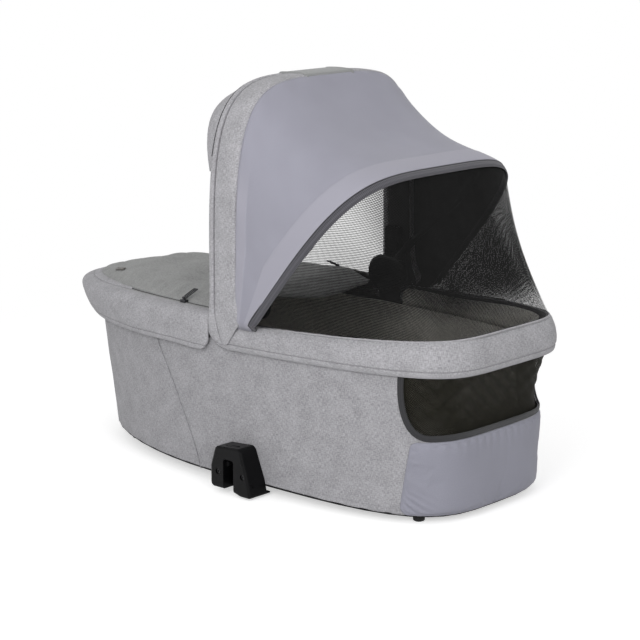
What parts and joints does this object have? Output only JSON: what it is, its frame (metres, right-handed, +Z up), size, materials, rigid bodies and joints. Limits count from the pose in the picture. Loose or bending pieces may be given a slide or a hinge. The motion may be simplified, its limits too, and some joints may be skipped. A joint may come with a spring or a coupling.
{
  "type": "carrycot",
  "caption": "Fabric carrycot with a folding hood on two bows, a zipped apron, a net window at the head end and a chassis adapter on each side.",
  "frame": {"origin": "middle of the bounding box's floor rectangle, on the floor under the rubber feet", "axes": "+X towards the head end, +Y across to the far long side, +Z up"},
  "size_m": [0.8715, 0.4564, 0.6319],
  "materials": {
    "melange_fabric": "grey melange woven cloth, matt",
    "lilac_fabric": "plain lilac-grey woven cloth, soft sheen",
    "apron_fabric": "warm grey melange woven cloth, matt",
    "lining_fabric": "beige-grey lining cloth, matt",
    "mattress_fabric": "off-white cotton cover, matt",
    "black_net": "fine black net",
    "charcoal_binding": "ribbed dark grey tape",
    "zip_metal": "dark plated zip metal",
    "grip_leatherette": "grey leatherette, fine grain",
    "matte_black_plastic": "fine grained black moulding",
    "black_plastic": "satin black moulding",
    "foot_rubber": "matt black rubber",
    "frame_aluminium": "drawn tube",
    "steel": "bright zinc",
    "board": "pressed board"
  },
  "bodies": {
    "tub": {"base_tray": "matte_black_plastic", "foot_head_near": "foot_rubber", "foot_head_far": "foot_rubber", "foot_end_near": "foot_rubber", "foot_end_far": "foot_rubber", "rim_frame": "frame_aluminium", "tub_cover": "melange_fabric", "window_mesh": "black_net", "window_binding": "charcoal_binding", "window_flap": "lilac_fabric", "lining": "lining_fabric", "base_board": "board", "mattress": "mattress_fabric", "rim_band": "melange_fabric", "apron_skirt": "melange_fabric", "zip_track": "charcoal_binding", "apron_top": "apron_fabric", "hood_canopy": "lilac_fabric", "hood_tape": "charcoal_binding", "hood_mesh": "black_net", "side_plate_near": "matte_black_plastic", "hub_pin_near": "steel", "hub_cap_near": "black_plastic", "adapter_housing_near": "black_plastic", "adapter_spring_near": "steel", "adapter_screw_near_foot": "steel", "adapter_screw_near_head": "steel", "side_plate_far": "matte_black_plastic", "hub_pin_far": "steel", "hub_cap_far": "black_plastic", "adapter_housing_far": "black_plastic", "adapter_spring_far": "steel", "adapter_screw_far_foot": "steel", "adapter_screw_far_head": "steel"},
    "hood_front": {"front_bow": "matte_black_plastic", "hood_band": "melange_fabric", "grip": "grip_leatherette", "visor": "melange_fabric", "front_arm_near": "black_plastic", "front_arm_far": "black_plastic", "hub_spring_near": "steel", "hub_spring_far": "steel"},
    "rear_bow_body": {"rear_bow": "steel", "rear_arm_near": "black_plastic", "rear_arm_far": "black_plastic"},
    "hub_button_near": {"hub_button_near": "black_plastic"},
    "adapter_button_near": {"adapter_button_near": "matte_black_plastic"},
    "adapter_latch_near": {"adapter_latch_near": "matte_black_plastic"},
    "zip_slider_near": {"zip_slider_near": "zip_metal"},
    "zip_pull_near": {"zip_pull_near": "charcoal_binding"},
    "hub_button_far": {"hub_button_far": "black_plastic"},
    "adapter_button_far": {"adapter_button_far": "matte_black_plastic"},
    "adapter_latch_far": {"adapter_latch_far": "matte_black_plastic"},
    "zip_slider_far": {"zip_slider_far": "zip_metal"},
    "zip_pull_far": {"zip_pull_far": "charcoal_binding"}
  },
  "joints": [
    {"name": "hood_fold", "type": "hinge", "parent": "tub", "child": "hood_front", "pos_m": [0.0437, 0, 0.2885], "axis": [0, 1, 0], "range_deg": [0, 70], "deforming": ["hood_canopy", "hood_tape", "hood_mesh"]},
    {"name": "rear_bow_fold", "type": "hinge", "parent": "tub", "child": "rear_bow_body", "pos_m": [0.0437, 0, 0.2885], "axis": [0, 1, 0], "range_deg": [0, 43]},
    {"name": "hub_button_press_near", "type": "slide", "parent": "hood_front", "child": "hub_button_near", "axis": [0, -1, 0], "range_m": [0, 0.003], "stiffness_N_per_m": 300, "deforming": ["hub_spring_near"]},
    {"name": "adapter_button_press_near", "type": "slide", "parent": "tub", "child": "adapter_button_near", "axis": [0, 0, -1], "range_m": [0, 0.003], "stiffness_N_per_m": 300, "deforming": ["adapter_spring_near"]},
    {"name": "adapter_latch_slide_near", "type": "slide", "parent": "tub", "child": "adapter_latch_near", "axis": [-1, 0, 0], "range_m": [0, 0.0046]},
    {"name": "zip_slide_near", "type": "slide", "parent": "tub", "child": "zip_slider_near", "axis": [0.9976, -0.069, 0], "range_m": [-0.06, 0.04]},
    {"name": "zip_pull_swing_near", "type": "hinge", "parent": "zip_slider_near", "child": "zip_pull_near", "pos_m": [-0.0713, -0.18129, 0.28315], "axis": [0.9976, -0.069, 0], "range_deg": [0, 140]},
    {"name": "hub_button_press_far", "type": "slide", "parent": "hood_front", "child": "hub_button_far", "axis": [0, 1, 0], "range_m": [0, 0.003], "stiffness_N_per_m": 300, "deforming": ["hub_spring_far"]},
    {"name": "adapter_button_press_far", "type": "slide", "parent": "tub", "child": "adapter_button_far", "axis": [0, 0, -1], "range_m": [0, 0.003], "stiffness_N_per_m": 300, "deforming": ["adapter_spring_far"]},
    {"name": "adapter_latch_slide_far", "type": "slide", "parent": "tub", "child": "adapter_latch_far", "axis": [-1, 0, 0], "range_m": [0, 0.0046]},
    {"name": "zip_slide_far", "type": "slide", "parent": "tub", "child": "zip_slider_far", "axis": [0.9976, 0.069, 0], "range_m": [-0.06, 0.04]},
    {"name": "zip_pull_swing_far", "type": "hinge", "parent": "zip_slider_far", "child": "zip_pull_far", "pos_m": [-0.0713, 0.18129, 0.28315], "axis": [-0.9976, -0.069, 0], "range_deg": [0, 140]}
  ],
  "couplings": [
    {"joint": "rear_bow_fold", "follows": "hood_fold", "ratio": 0.61},
    {"joint": "adapter_latch_slide_near", "follows": "adapter_button_press_near", "ratio": 1.5},
    {"joint": "adapter_latch_slide_far", "follows": "adapter_button_press_far", "ratio": 1.5}
  ]
}
